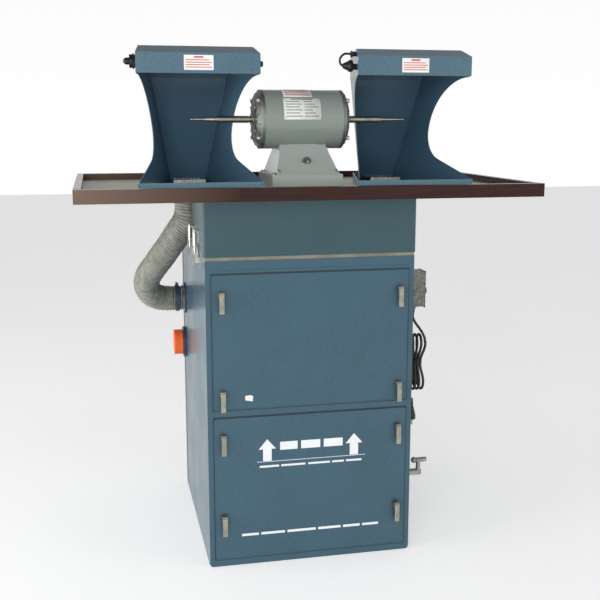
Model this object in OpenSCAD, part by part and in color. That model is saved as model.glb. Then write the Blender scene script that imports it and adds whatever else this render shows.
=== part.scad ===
/* [Cabinet] */
// full width of the cabinet in mm
cab_w = 572; // [450:1:800]
// full depth of the cabinet in mm
cab_d = 658; // [500:1:800]
// height of the cabinet in mm
cab_h = 853; // [600:1:1000]
// Y of the front face of the cabinet
front_y = -280; // [-350:1:-200]
// thickness of the steel sheet
sheet = 2; // [1:0.1:4]
// depth of the front frame
frame_d = 18; // [12:1:30]
// thickness of the pedestal gasket
gasket_t = 9.5; // [4:0.5:15]
// height of the pedestal
ped_h = 152.5; // [100:0.5:250]
// width of the pedestal
ped_w = 580; // [450:1:800]
// depth of the pedestal's full-width part
ped_d = 290; // [200:1:400]
// width of the pedestal between the duct drops
ped_neck = 480; // [300:1:490]

/* [Doors] */
// width of the upper door
door_w = 540; // [400:1:700]
// lower edge of the upper door
upper_lo = 448.5; // [400:0.5:500]
// upper edge of the upper door
upper_hi = 816.5; // [700:0.5:840]
// lower edge of the lower door
lower_lo = 21; // [10:1:60]
// upper edge of the lower door
lower_hi = 425.5; // [350:0.5:440]
// distance of the latch columns from the middle
latch_x = 245; // [200:1:260]
// length of a latch lever
latch_len = 55; // [30:1:80]

/* [Table] */
// width of the table
table_w = 1219; // [900:1:1500]
// depth of the table
table_d = 762; // [600:1:900]
// height of the rim rails
rim_h = 35; // [20:1:60]
// thickness of the rim rails
rim_t = 19; // [12:1:30]
// thickness of the table panel
panel_t = 16; // [10:1:25]

/* [Hoods] */
// distance of each hood from the middle
hood_x = 288; // [250:1:350]
// lower edge of the lamp canopy
canopy_lo = 1331; // [1250:1:1400]
// upper edge of the front fascia
fascia_hi = 1382; // [1340:1:1450]
// top of the canopy
canopy_hi = 1402; // [1360:1:1500]
// half width of the canopy at the front
canopy_half = 158.5; // [100:0.5:200]
// inner radius of the duct spigots
duct_r = 36.5; // [25:0.5:60]

/* [Motor] */
// height of the spindle axis
axis_z = 1217; // [1150:1:1300]
// Y of the spindle axis
axis_y = -121; // [-160:1:-80]
// radius of the motor shell
shell_r = 79; // [60:1:100]
// half length of the motor shell
shell_half = 106; // [80:1:140]
// radius of the spindle
spindle_r = 9.525; // [6:0.001:16]
// X where the parallel spindle ends
spindle_x = 229; // [180:1:260]
// X of the spindle tip
tip_x = 299; // [260:1:340]

/* [Ducts] */
// outer radius of the flexible hose
hose_r = 41; // [30:1:60]
// inner radius of the flexible hose
hose_bore = 38.3; // [25:0.1:56]
// height of the cabinet duct port
port_z = 652; // [550:1:750]
// height of the spare port
spare_z = 505; // [460:1:600]

/* [Cord] */
// diameter of the power cord
cord_d = 7.5; // [5:0.5:12]

/* [Hidden] */
$fn = 48;
half_w = cab_w / 2;
back_y = front_y + cab_d;
ped_z = cab_h + gasket_t;
table_z = ped_z + ped_h;
panel_z = table_z + panel_t;
rim_top = table_z + rim_h;
pan_floor = panel_z + 6;
pan_lip = panel_z + 26;
pan_front = -272;
pan_back = 114;
frame_back = front_y + frame_d;
door_front = front_y - 2;
door_back = front_y + 10;
lip_y = front_y + 14;
shelf_z = 433;
latch_tops = [771, 503, 381, 150];
draw_ys = [-171, -41];
draw_x = 299;
draw_z = 874;
bail_drop = 8;
bail_top = 926;
bail_r = 2.4;
leg_y = 14.8;
port_y = 309;
spare_y = 316;
box_y = -209;
box_lo = 701;
box_hi = 800;
shaker_y = -206;
shaker_z = 202;
shaker_r = 9.5;
blower_z = 190;
hose_route = [
    [-292, 59, 1011.5], [-293, 59, 985], [-297, 62, 935], [-320, 84, 892],
    [-349, 119, 842], [-379, 159, 793], [-404, 209, 748], [-411, 240, 714],
    [-400, 270, 682], [-376, 298, 660], [-340, 309, 652], [-291, 309, 652]
];
cord_route = [
    [308, -209, 690], [308, -209, 676], [314, -209, 655], [322, -209, 636], [322, -209, 620]
];
lamp_route = [
    [128, -194, 1355], [114, -194, 1353], [97, -194, 1361], [95, -194, 1376],
    [107, -194, 1388], [124, -194, 1388]
];

function unit(v) = v / norm(v);

function quad(a, b, c, d) = [[a, b, c], [a, c, d]];

function curve_at(p, i, t) =
    let (a = p[max(i - 1, 0)], b = p[i], c = p[i + 1], d = p[min(i + 2, len(p) - 1)])
    0.5 * (2 * b + (c - a) * t + (2 * a - 5 * b + 4 * c - d) * t * t
        + (3 * b - a - 3 * c + d) * t * t * t);

function curve(p, n) = concat(
    [for (i = [0:len(p) - 2]) for (s = [0:n - 1]) curve_at(p, i, s / n)],
    [p[len(p) - 1]]
);

function heading(q, p, i) =
    i == 0 ? unit(p[1] - p[0])
    : i == len(q) - 1 ? unit(p[len(p) - 1] - p[len(p) - 2])
    : unit(q[i + 1] - q[i - 1]);

function ring(c, t, r, n, ref) =
    let (u = unit(cross(t, ref)), v = cross(t, u))
    [for (j = [0:n - 1]) c + r * (u * cos(360 * j / n) + v * sin(360 * j / n))];

// solid round tube along a route
module rod_along(p, steps, r, n, ref) {
    q = curve(p, steps);
    m = len(q);
    pts = [for (i = [0:m - 1]) each ring(q[i], heading(q, p, i), r, n, ref)];
    sides = [
        for (i = [0:m - 2]) for (j = [0:n - 1])
            each quad((i + 1) * n + j, (i + 1) * n + (j + 1) % n, i * n + (j + 1) % n, i * n + j)
    ];
    first = [[for (j = [0:n - 1]) j]];
    last = [[for (j = [0:n - 1]) (m - 1) * n + n - 1 - j]];
    polyhedron(points = pts, faces = concat(sides, first, last));
}

// hollow round tube along a route
module tube_along(p, steps, r_out, r_in, n, ref) {
    q = curve(p, steps);
    m = len(q);
    s = m * n;
    e = (m - 1) * n;
    outer = [for (i = [0:m - 1]) each ring(q[i], heading(q, p, i), r_out, n, ref)];
    inner = [for (i = [0:m - 1]) each ring(q[i], heading(q, p, i), r_in, n, ref)];
    skin = [
        for (i = [0:m - 2]) for (j = [0:n - 1])
            each quad((i + 1) * n + j, (i + 1) * n + (j + 1) % n, i * n + (j + 1) % n, i * n + j)
    ];
    bore = [
        for (i = [0:m - 2]) for (j = [0:n - 1])
            each quad(s + i * n + j, s + i * n + (j + 1) % n,
                s + (i + 1) * n + (j + 1) % n, s + (i + 1) * n + j)
    ];
    first = [for (j = [0:n - 1]) each quad(j, (j + 1) % n, s + (j + 1) % n, s + j)];
    last = [
        for (j = [0:n - 1])
            each quad(e + (j + 1) % n, e + j, s + e + j, s + e + (j + 1) % n)
    ];
    polyhedron(points = concat(outer, inner), faces = concat(skin, bore, first, last));
}

// box given by its limits
module block(x0, x1, y0, y1, z0, z1) {
    translate([x0, y0, z0])
        cube([x1 - x0, y1 - y0, z1 - z0]);
}

// cylinder along X between two X values
module bar_x(x0, x1, y, z, r) {
    translate([x0, y, z])
        rotate([0, 90, 0])
            cylinder(h = x1 - x0, r = r);
}

// cylinder along Y between two Y values
module bar_y(x, y0, y1, z, r) {
    translate([x, y1, z])
        rotate([90, 0, 0])
            cylinder(h = y1 - y0, r = r);
}

// cone along X, radius r0 at x0 and r1 at x1
module cone_x(x0, x1, y, z, r0, r1) {
    translate([x0, y, z])
        rotate([0, 90, 0])
            cylinder(h = x1 - x0, r1 = r0, r2 = r1);
}

// flat plan shape with four round corners
module round_plan(x0, x1, y0, y1, r) {
    translate([x0 + r, y0])
        square([x1 - x0 - 2 * r, y1 - y0]);
    translate([x0, y0 + r])
        square([x1 - x0, y1 - y0 - 2 * r]);
    for (x = [x0 + r, x1 - r])
        for (y = [y0 + r, y1 - r])
            translate([x, y])
                circle(r = r);
}

// plate standing in XZ with round corners
module upright(x0, x1, z0, z1, r, y0, y1) {
    translate([0, y1, 0])
        rotate([90, 0, 0])
            linear_extrude(y1 - y0)
                round_plan(x0, x1, z0, z1, r);
}

module cabinet_shell() {
    color([0.33, 0.44, 0.5])
        difference() {
            block(-half_w, half_w, frame_back, back_y, 0, cab_h);
            block(-half_w + sheet, half_w - sheet, frame_back - 1, back_y - sheet, sheet, cab_h - sheet);
            bar_x(-half_w - 1, -half_w + sheet + 1, port_y, port_z, duct_r);
            bar_x(half_w - sheet - 1, half_w + 1, port_y, port_z, duct_r);
            bar_x(-half_w - 1, -half_w + sheet + 1, spare_y, spare_z, duct_r);
            bar_x(half_w - sheet - 1, half_w + 1, shaker_y, shaker_z, 13);
            block(40, 124, back_y - sheet - 1, back_y + 1, 302, 378);
        }
}

// frame opening for one door
module door_gap(lo, hi) {
    block(-door_w / 2 - 1.5, door_w / 2 + 1.5, front_y - 1, lip_y, lo - 1.5, hi + 1.5);
    block(-door_w / 2 + 12, door_w / 2 - 12, front_y - 1, frame_back + 1, lo + 12, hi - 12);
}

module front_frame() {
    color([0.32, 0.43, 0.49])
        difference() {
            union() {
                upright(-half_w, half_w, 0, 40, 10, front_y, frame_back);
                block(-half_w, half_w, front_y, frame_back, 20, cab_h);
            }
            door_gap(upper_lo, upper_hi);
            door_gap(lower_lo, lower_hi);
            block(-half_w + 16, half_w - 16, front_y - 1, front_y + 1, cab_h - 25, cab_h - 22);
        }
}

// one lift-off door pan with its latch holes
module door(lo, hi, tops) {
    difference() {
        upright(-door_w / 2, door_w / 2, lo, hi, 6, door_front, door_back);
        block(-door_w / 2 + 2, door_w / 2 - 2, door_front + 2, door_back + 1, lo + 2, hi - 2);
        for (s = [-1, 1])
            for (t = tops)
                bar_y(s * latch_x, door_front - 1, door_back + 1, t - 7, 4.05);
    }
}

module upper_door() {
    color([0.32, 0.44, 0.5])
        door(upper_lo, upper_hi, [latch_tops[0], latch_tops[1]]);
}

module lower_door() {
    color([0.32, 0.44, 0.5])
        door(lower_lo, lower_hi, [latch_tops[2], latch_tops[3]]);
}

// foam frame behind a door edge
module door_seal(lo, hi) {
    difference() {
        block(-door_w / 2, door_w / 2, door_back, lip_y, lo, hi);
        block(-door_w / 2 + 8, door_w / 2 - 8, door_back - 1, lip_y + 1, lo + 8, hi - 8);
    }
}

module seals() {
    color([0.72, 0.66, 0.52]) {
        door_seal(upper_lo, upper_hi);
        door_seal(lower_lo, lower_hi);
        translate([0, 0, cab_h])
            linear_extrude(gasket_t)
                difference() {
                    ped_plan(2);
                    ped_plan(26);
                }
    }
}

// latch lever with its shaft and inner tongue
module latch(side, top) {
    z = top - 7;
    color([0.75, 0.72, 0.65])
        union() {
            block(side * latch_x - 7, side * latch_x + 7, door_front - 15, door_front - 3.3, z - 7, z + 7);
            difference() {
                block(side * latch_x - 6.5, side * latch_x + 6.5, door_front - 18, door_front - 9,
                    top - latch_len, z + 3);
                block(side * latch_x - 4, side * latch_x + 4, door_front - 12, door_front - 8,
                    top - latch_len + 4, z - 8);
                block(side * latch_x - 3.5, side * latch_x + 3.5, door_front - 19, door_front - 16.5,
                    top - latch_len + 14, z - 4);
            }
            bar_y(side * latch_x, door_front - 5, frame_back + 5, z, 4);
            block(min(side * latch_x, side * (latch_x + 20)), max(side * latch_x, side * (latch_x + 20)),
                frame_back + 2, frame_back + 5, z - 5, z + 5);
        }
}

module latch_hardware() {
    color([0.6, 0.58, 0.52])
        for (s = [-1, 1])
            for (t = latch_tops)
                difference() {
                    bar_y(s * latch_x, door_front - 3, door_front, t - 7, 11);
                    bar_y(s * latch_x, door_front - 4, door_front + 1, t - 7, 4.05);
                }
}

module filter_shelf() {
    color([0.45, 0.5, 0.53])
        difference() {
            block(-half_w + sheet, half_w - sheet, frame_back + 8, back_y - sheet, shelf_z, shelf_z + 3);
            for (x = [-130, 130])
                for (y = [-90, 45])
                    translate([x, y, shelf_z - 1])
                        cylinder(h = 5, r = 54);
        }
}

// hanging cloth bag with an open mouth
module bag() {
    rotate_extrude()
        polygon([
            [0, 130], [40, 132], [56, 146], [60, 180], [58, 300], [60, 410], [62, shelf_z],
            [55, shelf_z], [55, 410], [54, 300], [56, 182], [52, 150], [38, 136], [0, 134]
        ]);
}

module filter_bags() {
    color([0.82, 0.8, 0.72])
        for (x = [-130, 130])
            for (y = [-90, 45])
                translate([x, y, 0])
                    bag();
}

module shaker_handle() {
    color([0.5, 0.5, 0.48])
        union() {
            bar_x(-268, 344, shaker_y, shaker_z, shaker_r);
            block(333, 341, shaker_y - 8, shaker_y + 8, shaker_z, shaker_z + 36);
            bar_x(326, 361, shaker_y, shaker_z + 36, 7);
            translate([324, shaker_y, shaker_z + 36])
                sphere(r = 9);
            for (x = [-130, 130])
                block(x - 15, x + 15, shaker_y - 3, shaker_y + 3, shaker_z - 62, shaker_z);
        }
}

module bearings() {
    color([0.55, 0.56, 0.58])
        for (s = [-1, 1])
            difference() {
                bar_x(s > 0 ? 110 : -124, s > 0 ? 124 : -110, axis_y, axis_z, 23);
                bar_x(-140, 140, axis_y, axis_z, 8.55);
            }
    color([0.5, 0.5, 0.48])
        difference() {
            bar_x(half_w, half_w + 8, shaker_y, shaker_z, 18);
            bar_x(half_w - 1, half_w + 9, shaker_y, shaker_z, shaker_r + 0.05);
        }
    color([0.5, 0.5, 0.48])
        difference() {
            bar_x(-half_w + sheet, -262, shaker_y, shaker_z, 18);
            bar_x(-270, -261, shaker_y, shaker_z, shaker_r + 0.05);
        }
}

module blower_scroll() {
    color([0.35, 0.37, 0.38])
        difference() {
            union() {
                bar_y(0, 160, 240, blower_z, 125);
                block(-100, 100, 165, 235, sheet, blower_z - 103);
                block(40, 124, 160, 240, blower_z, 380);
                block(40, 124, 160, back_y - sheet, 302, 380);
            }
            bar_y(0, 162, 238, blower_z, 122);
            block(43, 121, 162, 238, blower_z, 377);
            block(43, 121, 162, back_y, 305, 377);
            bar_y(0, 158, 164, blower_z, 60);
            bar_y(0, 236, 242, blower_z, 14);
        }
}

module blower_wheel() {
    color([0.62, 0.63, 0.64])
        union() {
            bar_y(0, 226, 229, blower_z, 108);
            bar_y(0, 196, 229, blower_z, 16);
            bar_y(0, 228, 262, blower_z, 7);
            for (i = [0:11])
                translate([0, 170, blower_z])
                    rotate([0, i * 30, 0])
                        translate([62, 0, -1.5])
                            cube([44, 57, 3]);
            difference() {
                bar_y(0, 168, 171, blower_z, 108);
                bar_y(0, 167, 172, blower_z, 60);
            }
        }
}

module blower_motor() {
    color([0.3, 0.32, 0.34])
        difference() {
            union() {
                bar_y(0, 246, 350, blower_z, 62);
                bar_y(0, 350, 362, blower_z, 44);
                block(-60, 60, 260, 340, sheet, 150);
            }
            bar_y(0, 245, 266, blower_z, 7.05);
        }
    color([0.3, 0.32, 0.34])
        block(-20, 20, 240, 246, blower_z + 18, blower_z + 50);
}

module exhaust_grille() {
    color([0.2, 0.21, 0.22])
        difference() {
            block(28, 136, back_y, back_y + 3, 290, 390);
            for (i = [0:5])
                block(40, 124, back_y - 1, back_y + 4, 304 + i * 13, 311 + i * 13);
        }
}

// plan of the pedestal, t inside its outer faces: wide in front, narrow between the ducts
module ped_plan(t) {
    round_plan(-ped_w / 2 + t, ped_w / 2 - t, front_y + t, front_y + ped_d - t, 8);
    translate([-ped_neck / 2 + t, front_y + 40])
        square([ped_neck - 2 * t, cab_d - 40 - t]);
}

module pedestal_shell() {
    color([0.36, 0.46, 0.51])
        difference() {
            translate([0, 0, ped_z])
                linear_extrude(ped_h)
                    ped_plan(0);
            translate([0, 0, ped_z - 1])
                linear_extrude(ped_h - 2)
                    ped_plan(sheet);
        }
}

// over-centre lever of a draw latch
module draw_lever(side, y) {
    color([0.78, 0.78, 0.75])
        mirror([side > 0 ? 0 : 1, 0, 0])
            difference() {
                union() {
                    for (c = [-11, 9])
                        block(draw_x - 4, draw_x + 7, y + c, y + c + 2, draw_z - 14, draw_z + 5);
                    translate([draw_x + 8, y, 0])
                        rotate([90, 0, -90])
                            linear_extrude(2)
                                polygon([[-11, draw_z + 4], [-11, draw_z - 25], [-4, 825],
                                    [4, 825], [11, draw_z - 25], [11, draw_z + 4]]);
                }
                bar_y(draw_x, y - 12, y + 12, draw_z, 2.05);
                bar_y(draw_x + 2, y - 12, y + 12, draw_z - bail_drop, 1.55);
            }
}

// wire bail of a draw latch
module draw_bail(side, y) {
    color([0.85, 0.85, 0.82])
        mirror([side > 0 ? 0 : 1, 0, 0])
            union() {
                for (c = [-1, 1])
                    translate([draw_x + 2, y + c * leg_y, draw_z - bail_drop])
                        cylinder(h = bail_top - draw_z + bail_drop, r = bail_r);
                for (c = [-1, 1])
                    for (z = [draw_z - bail_drop, bail_top])
                        translate([draw_x + 2, y + c * leg_y, z])
                            sphere(r = bail_r);
                bar_y(draw_x + 2, y - leg_y, y + leg_y, bail_top, bail_r);
                bar_y(draw_x + 2, y - leg_y, y - 8.5, draw_z - bail_drop, 1.5);
                bar_y(draw_x + 2, y + 8.5, y + leg_y, draw_z - bail_drop, 1.5);
            }
}

module draw_hardware() {
    color([0.72, 0.72, 0.7])
        for (side = [-1, 1])
            for (y = draw_ys)
                mirror([side > 0 ? 0 : 1, 0, 0]) {
                    difference() {
                        union() {
                            block(half_w, half_w + 2, y - 8, y + 8, 820, 852);
                            for (c = [-8, 6]) {
                                block(half_w, draw_x + 3, y + c, y + c + 2, 836, 852);
                                block(half_w + 6, draw_x + 3, y + c, y + c + 2, 850, draw_z + 4);
                            }
                        }
                        bar_y(draw_x, y - 12, y + 12, draw_z, 2.3);
                    }
                    bar_y(draw_x, y - 11.8, y + 11.8, draw_z, 2);
                    union() {
                        block(ped_w / 2, ped_w / 2 + 2, y - 10.5, y + 10.5, 890, bail_top - bail_r - 0.5);
                        block(ped_w / 2, draw_x + 5, y - 10.5, y + 10.5, bail_top - 7, bail_top - bail_r - 0.5);
                    }
                }
}

module table_panel() {
    color([0.62, 0.6, 0.52])
        difference() {
            block(-table_w / 2 + rim_t, table_w / 2 - rim_t, -table_d / 2 + rim_t, table_d / 2 - rim_t,
                table_z, panel_z);
            for (s = [-1, 1])
                translate([s * 292, 59, table_z - 1])
                    cylinder(h = panel_t + 2, r = duct_r + 2);
        }
}

module table_rim() {
    color([0.2, 0.13, 0.1])
        difference() {
            block(-table_w / 2, table_w / 2, -table_d / 2, table_d / 2, table_z, rim_top);
            block(-table_w / 2 + rim_t, table_w / 2 - rim_t, -table_d / 2 + rim_t, table_d / 2 - rim_t,
                table_z - 1, rim_top + 1);
        }
}

// base pan of one hood with its duct spigot
module hood_base(s) {
    difference() {
        union() {
            translate([s * hood_x, 0, panel_z])
                linear_extrude(pan_lip - panel_z)
                    polygon([[-162, pan_front], [162, pan_front], [70, pan_back], [-70, pan_back]]);
            translate([s * 292, 59, table_z - 28])
                cylinder(h = 30 + panel_t, r = 38);
        }
        translate([s * hood_x, 0, pan_floor])
            linear_extrude(30)
                polygon([[-159.9, pan_front + 2], [159.9, pan_front + 2], [68.4, pan_back - 2],
                    [-68.4, pan_back - 2]]);
        translate([s * 292, 59, table_z - 29])
            cylinder(h = 90, r = duct_r);
    }
}

module hood_bases() {
    color([0.3, 0.38, 0.42])
        for (s = [-1, 1])
            hood_base(s);
}

// front edge of the side walls as Y and Z, from the pan up to the canopy
function wall_edge() = concat(
    [[-268.5, pan_floor], [-268.5, pan_lip]],
    [for (i = [1:4]) [-272 + 39.35 * i, pan_lip + 12.125 * i]],
    [for (i = [1:5]) let (a = -73 + 14.6 * i) [-138 + 80 * cos(a), 1182 + 80 * sin(a)]],
    [for (i = [1:9]) let (a = 10 * i) [-241 + 183 * cos(a), 1182 + 149 * sin(a)]]
);

function back_edge(z) = 104 - 97 * (z - 1040) / 300;

function wall_half(y, z) =
    let (
        f = (z - 1057) / 274,
        y0 = -272 + 22 * f,
        h0 = 159 - 0.5 * f,
        h1 = 53 + 57 * (z - 1040) / 300,
        t = (y - y0) / (back_edge(z) - y0)
    )
    h0 + (h1 - h0) * t;

// one row of the hood wall, thickness t inside the outer face
function wall_row(e, t) = concat(
    [for (c = [0:5]) let (y = e[0] + (back_edge(e[1]) - t - e[0]) * c / 5) [t - wall_half(y, e[1]), y, e[1]]],
    [for (c = [5:-1:0]) let (y = e[0] + (back_edge(e[1]) - t - e[0]) * c / 5) [wall_half(y, e[1]) - t, y, e[1]]]
);

// side walls and back wall of a hood, one bent sheet
module hood_shell(s) {
    rows = wall_edge();
    n = len(rows);
    m = 12;
    o = n * m;
    pts = concat(
        [for (e = rows) each wall_row(e, 0)],
        [for (e = rows) each wall_row(e, sheet)]
    );
    skin = [
        for (k = [0:n - 2]) for (c = [0:m - 2])
            each quad(k * m + c, k * m + c + 1, (k + 1) * m + c + 1, (k + 1) * m + c)
    ];
    inside = [
        for (k = [0:n - 2]) for (c = [0:m - 2])
            each quad(o + k * m + c, o + (k + 1) * m + c, o + (k + 1) * m + c + 1, o + k * m + c + 1)
    ];
    bottom = [for (c = [0:m - 2]) each quad(c + 1, c, o + c, o + c + 1)];
    top = [
        for (c = [0:m - 2])
            each quad((n - 1) * m + c, (n - 1) * m + c + 1, o + (n - 1) * m + c + 1, o + (n - 1) * m + c)
    ];
    left = [for (k = [0:n - 2]) each quad(k * m, (k + 1) * m, o + (k + 1) * m, o + k * m)];
    right = [
        for (k = [0:n - 2])
            each quad((k + 1) * m + m - 1, k * m + m - 1, o + k * m + m - 1, o + (k + 1) * m + m - 1)
    ];
    translate([s * hood_x, 0, 0])
        polyhedron(points = pts, faces = concat(skin, inside, bottom, top, left, right));
}

module hood_shell_left() {
    color([0.24, 0.33, 0.37])
        hood_shell(-1);
}

module hood_shell_right() {
    color([0.24, 0.33, 0.37])
        hood_shell(1);
}

// block with the side profile and the plan of a canopy, t inside the outer faces
module canopy_block(t) {
    half_back = canopy_half - 0.1887 * 261;
    intersection() {
        translate([200, 0, 0])
            rotate([90, 0, -90])
                linear_extrude(400)
                    polygon([[250 - t, canopy_lo - 2 * t], [250 - t, fascia_hi - 0.3 * t],
                        [195 - t, canopy_hi - t], [-11 + t, canopy_hi - t], [-11 + t, canopy_lo - 2 * t]]);
        translate([0, 0, canopy_lo - 2 * t])
            linear_extrude(200)
                polygon([[-canopy_half + t, -250], [canopy_half - t, -250],
                    [half_back - t, 11], [-half_back + t, 11]]);
    }
}

module hood_canopy(s) {
    translate([s * hood_x, 0, 0])
        difference() {
            canopy_block(0);
            canopy_block(sheet);
        }
}

module hood_canopy_left() {
    color([0.36, 0.48, 0.55])
        hood_canopy(-1);
}

module hood_canopy_right() {
    color([0.36, 0.48, 0.55])
        hood_canopy(1);
}

module hood_screens() {
    color([0.75, 0.74, 0.68])
        for (s = [-1, 1])
            difference() {
                block(s * 292 - 46, s * 292 + 46, 14, 98, pan_floor, pan_floor + 11);
                block(s * 292 - 44, s * 292 + 44, 16, 96, pan_floor - 1, pan_floor + 9);
                for (i = [0:6])
                    block(s * 292 - 38 + i * 11, s * 292 - 32 + i * 11, 24, 88, pan_floor + 8, pan_floor + 12);
            }
}

module lamps() {
    color([0.92, 0.92, 0.88])
        for (s = [-1, 1])
            union() {
                bar_x(s * hood_x - 105, s * hood_x + 105, -160, 1362, 9);
                for (c = [-1, 1])
                    block(s * hood_x + c * 98 - 8, s * hood_x + c * 98 + 8, -172, -148, 1350, canopy_hi - sheet);
            }
}

module lamp_glands() {
    color([0.07, 0.07, 0.07]) {
        union() {
            bar_x(-459, -434, -194, 1362, 17);
            bar_x(-468, -458, -194, 1362, 9);
            translate([-466, -194, 1362])
                sphere(r = 8.5);
        }
        bar_x(-142, -120, -194, 1359, 8);
        bar_x(128, 142, -194, 1355, 8);
        bar_x(124, 142, -194, 1388, 6);
        rod_along(lamp_route, 5, 3, 10, [0, 1, 0]);
    }
}

module motor_shell() {
    color([0.52, 0.56, 0.57])
        difference() {
            bar_x(-shell_half, shell_half, axis_y, axis_z, shell_r);
            bar_x(-shell_half - 1, shell_half + 1, axis_y, axis_z, shell_r - 4);
        }
}

// end bell on the +X end
module end_bell() {
    difference() {
        union() {
            bar_x(shell_half, shell_half + 9, axis_y, axis_z, shell_r);
            cone_x(shell_half + 9, shell_half + 21, axis_y, axis_z, shell_r, 58);
        }
        bar_x(shell_half - 1, 124, axis_y, axis_z, 23);
        bar_x(shell_half, 143, axis_y, axis_z, 11);
    }
}

module end_bells() {
    color([0.5, 0.53, 0.53]) {
        end_bell();
        mirror([1, 0, 0])
            end_bell();
        for (s = [-1, 1])
            for (a = [45:90:315])
                translate([s > 0 ? shell_half + 8 : -shell_half - 22,
                        axis_y + 70 * cos(a), axis_z + 70 * sin(a)])
                    rotate([0, 90, 0])
                        cylinder(h = 14, r = 5);
    }
}

module stator() {
    color([0.55, 0.32, 0.18])
        difference() {
            bar_x(-80, 80, axis_y, axis_z, shell_r - 3.8);
            bar_x(-81, 81, axis_y, axis_z, 50.5);
        }
}

module rotor() {
    color([0.6, 0.6, 0.6])
        union() {
            bar_x(-70, 70, axis_y, axis_z, 50);
            bar_x(-106, 106, axis_y, axis_z, 8.5);
        }
}

// tapered spindle on the +X end
module spindle() {
    union() {
        bar_x(106, 142, axis_y, axis_z, 8.5);
        bar_x(142, spindle_x, axis_y, axis_z, spindle_r);
        cone_x(spindle_x, tip_x - 2, axis_y, axis_z, 6.8, 3);
        cone_x(tip_x - 2, tip_x, axis_y, axis_z, 3, 1.5);
    }
}

module spindle_left() {
    color([0.75, 0.74, 0.7])
        mirror([1, 0, 0])
            spindle();
}

module spindle_right() {
    color([0.75, 0.74, 0.7])
        spindle();
}

// hollow tapered tower of the motor base, t inside the outer faces
module tower(t) {
    intersection() {
        translate([0, 0, 0])
            rotate([90, 0, 0])
                translate([0, 0, -20])
                    linear_extrude(220)
                        polygon([[-82 + t, 1071 - t], [82 - t, 1071 - t], [63 - t, 1152 - t], [-63 + t, 1152 - t]]);
        translate([100, 0, 0])
            rotate([90, 0, -90])
                linear_extrude(200)
                    polygon([[231 - t, 1071 - t], [161 - t, 1152 - t], [81 + t, 1152 - t], [11 + t, 1071 - t]]);
    }
}

module motor_base() {
    color([0.56, 0.6, 0.58])
        difference() {
            union() {
                block(-96, 96, -231, -11, panel_z, 1072);
                tower(0);
            }
            block(-93, 93, -228, -14, panel_z - 1, 1069);
            tower(3);
            bar_x(-110, 110, axis_y, axis_z, shell_r - 0.2);
            bar_y(2, -230, -180, 1106, 5);
        }
    color([0.2, 0.2, 0.2])
        difference() {
            bar_y(2, -206, -192, 1106, 8);
            bar_y(2, -207, -180, 1106, 5);
        }
}

module motor_switch() {
    color([0.8, 0.8, 0.78])
        union() {
            translate([2, -201, 1106])
                sphere(r = 4.6);
            bar_y(2, -219, -202, 1106, 2.4);
            translate([2, -219, 1106])
                sphere(r = 3.4);
        }
}

module hose_left() {
    color([0.47, 0.48, 0.44])
        tube_along(hose_route, 4, hose_r, hose_bore, 20, [1, -1, 0]);
}

module hose_right() {
    color([0.47, 0.48, 0.44])
        mirror([1, 0, 0])
            tube_along(hose_route, 4, hose_r, hose_bore, 20, [1, -1, 0]);
}

// worm-drive band round a hose end, along X
module hose_band() {
    difference() {
        bar_x(-318, -306, port_y, port_z, hose_r + 1.8);
        bar_x(-319, -305, port_y, port_z, hose_r + 0.3);
    }
    bar_y(-312, port_y - 12, port_y + 12, port_z + hose_r + 5, 5);
    block(-317, -307, port_y - 6, port_y + 6, port_z + hose_r + 1, port_z + hose_r + 5);
}

// flanged port on the cabinet wall
module port() {
    difference() {
        union() {
            bar_x(-half_w - 5, -half_w, port_y, port_z, 50);
            bar_x(-half_w - 40, -half_w, port_y, port_z, 38);
        }
        bar_x(-half_w - 41, -half_w + 1, port_y, port_z, duct_r);
    }
}

module duct_ports() {
    color([0.2, 0.24, 0.3]) {
        port();
        mirror([1, 0, 0])
            port();
        difference() {
            union() {
                bar_x(-half_w - 9, -half_w, spare_y, spare_z, 50);
                bar_x(-half_w - 31, -half_w, spare_y, spare_z, 37.95);
            }
            bar_x(-half_w - 32, -half_w + 1, spare_y, spare_z, duct_r);
        }
        for (a = [45:90:315])
            translate([-half_w - 12, spare_y + 45 * cos(a), spare_z + 45 * sin(a)])
                rotate([0, 90, 0])
                    cylinder(h = 3, r = 3);
    }
    color([0.75, 0.75, 0.72]) {
        hose_band();
        mirror([1, 0, 0])
            hose_band();
        for (s = [-1, 1])
            translate([s * 292, 59, table_z - 14])
                difference() {
                    cylinder(h = 10, r = hose_r + 1.8);
                    translate([0, 0, -1])
                        cylinder(h = 12, r = hose_r + 0.3);
                }
    }
}

module orange_cap() {
    color([0.85, 0.33, 0.1])
        difference() {
            bar_x(-half_w - 38, -half_w - 12, spare_y, spare_z, 40);
            bar_x(-half_w - 33, -half_w - 11, spare_y, spare_z, 38);
        }
}

module junction_box() {
    color([0.58, 0.58, 0.54]) {
        difference() {
            block(half_w, half_w + 48, box_y - 27, box_y + 27, box_lo, box_hi);
            block(half_w + 2, half_w + 49, box_y - 25, box_y + 25, box_lo + 2, box_hi - 2);
        }
        difference() {
            block(half_w + 48, half_w + 50, box_y - 28, box_y + 28, box_lo - 3, box_hi + 1);
            bar_x(half_w + 47, half_w + 51, box_y, 742, 6);
        }
    }
    color([0.06, 0.06, 0.06])
        translate([308, box_y, 690])
            cylinder(h = box_lo - 690, r = 9);
}

module box_switch() {
    color([0.06, 0.06, 0.06])
        union() {
            bar_x(half_w + 40, half_w + 56, box_y, 742, 4);
            bar_x(half_w + 52, half_w + 60, box_y, 742, 9);
            block(half_w + 60, half_w + 62, box_y - 1, box_y + 1, 736, 750);
        }
}

module power_cord() {
    color([0.06, 0.06, 0.06])
        rod_along(cord_route, 4, cord_d / 2, 10, [1, 0, 0]);
}

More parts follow.
